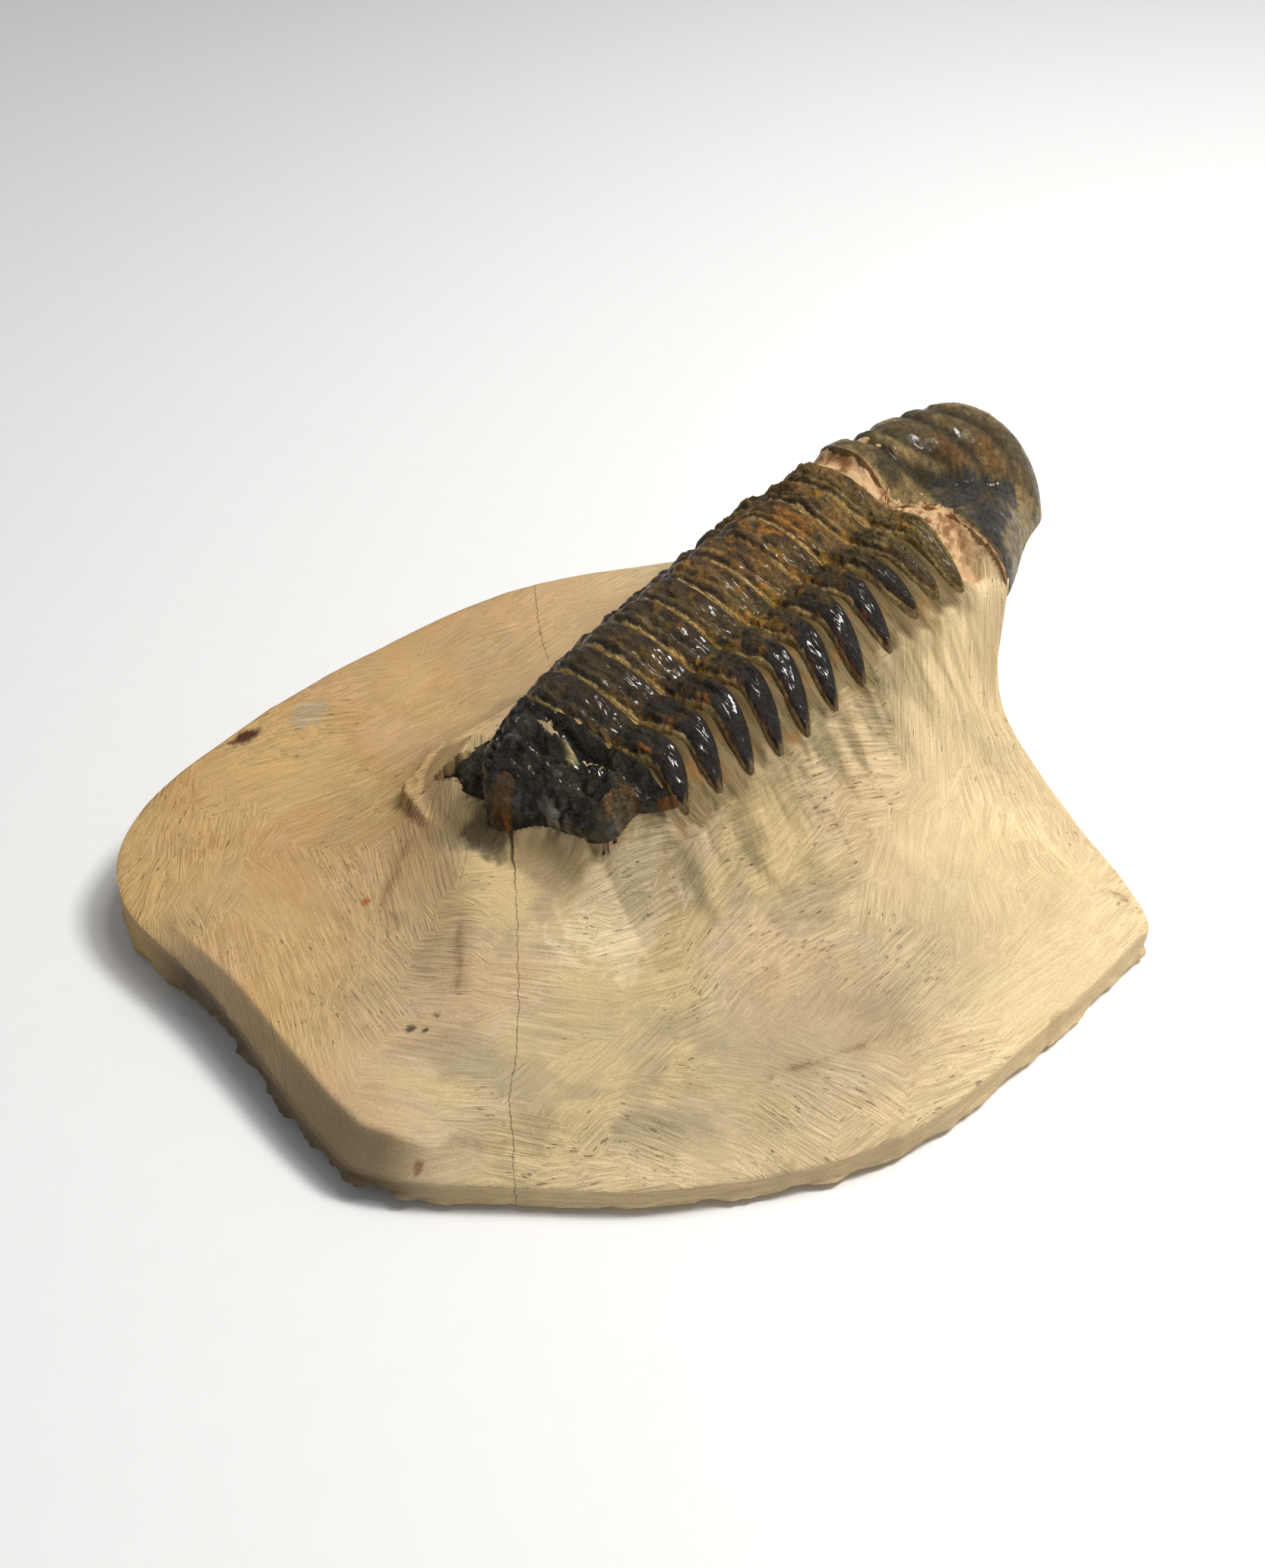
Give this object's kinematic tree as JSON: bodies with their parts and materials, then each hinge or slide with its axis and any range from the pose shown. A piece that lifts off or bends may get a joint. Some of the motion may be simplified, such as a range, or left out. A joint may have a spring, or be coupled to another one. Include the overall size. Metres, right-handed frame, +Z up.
{
  "type": "fossil trilobite",
  "caption": "Arched fossil trilobite with swept-back side spines, standing on a pedestal tooled out of a shallow dished slab of limestone.",
  "frame": {"origin": "middle of the bounding box in plan, at the height of the flat base", "axes": "+Z up, +X from the tail towards the head along the animal's back, +Y to the animal's left"},
  "size_m": [0.1104, 0.0842, 0.0308],
  "materials": {
    "limestone": "matt tan limestone with fine tool marks",
    "head_shell": "olive-brown fossil shell, half gloss",
    "segment_shell": "dark brown fossil shell, glossy on the spines",
    "tail_shell": "near-black fossil shell, glossy"
  },
  "bodies": {
    "root": {"matrix": "limestone", "cephalon": "head_shell", "thoracic_segment_01": "segment_shell", "thoracic_segment_02": "segment_shell", "thoracic_segment_03": "segment_shell", "thoracic_segment_04": "segment_shell", "thoracic_segment_05": "segment_shell", "thoracic_segment_06": "segment_shell", "thoracic_segment_07": "segment_shell", "thoracic_segment_08": "segment_shell", "thoracic_segment_09": "segment_shell", "thoracic_segment_10": "segment_shell", "thoracic_segment_11": "segment_shell", "pygidium": "tail_shell"}
  },
  "joints": []
}
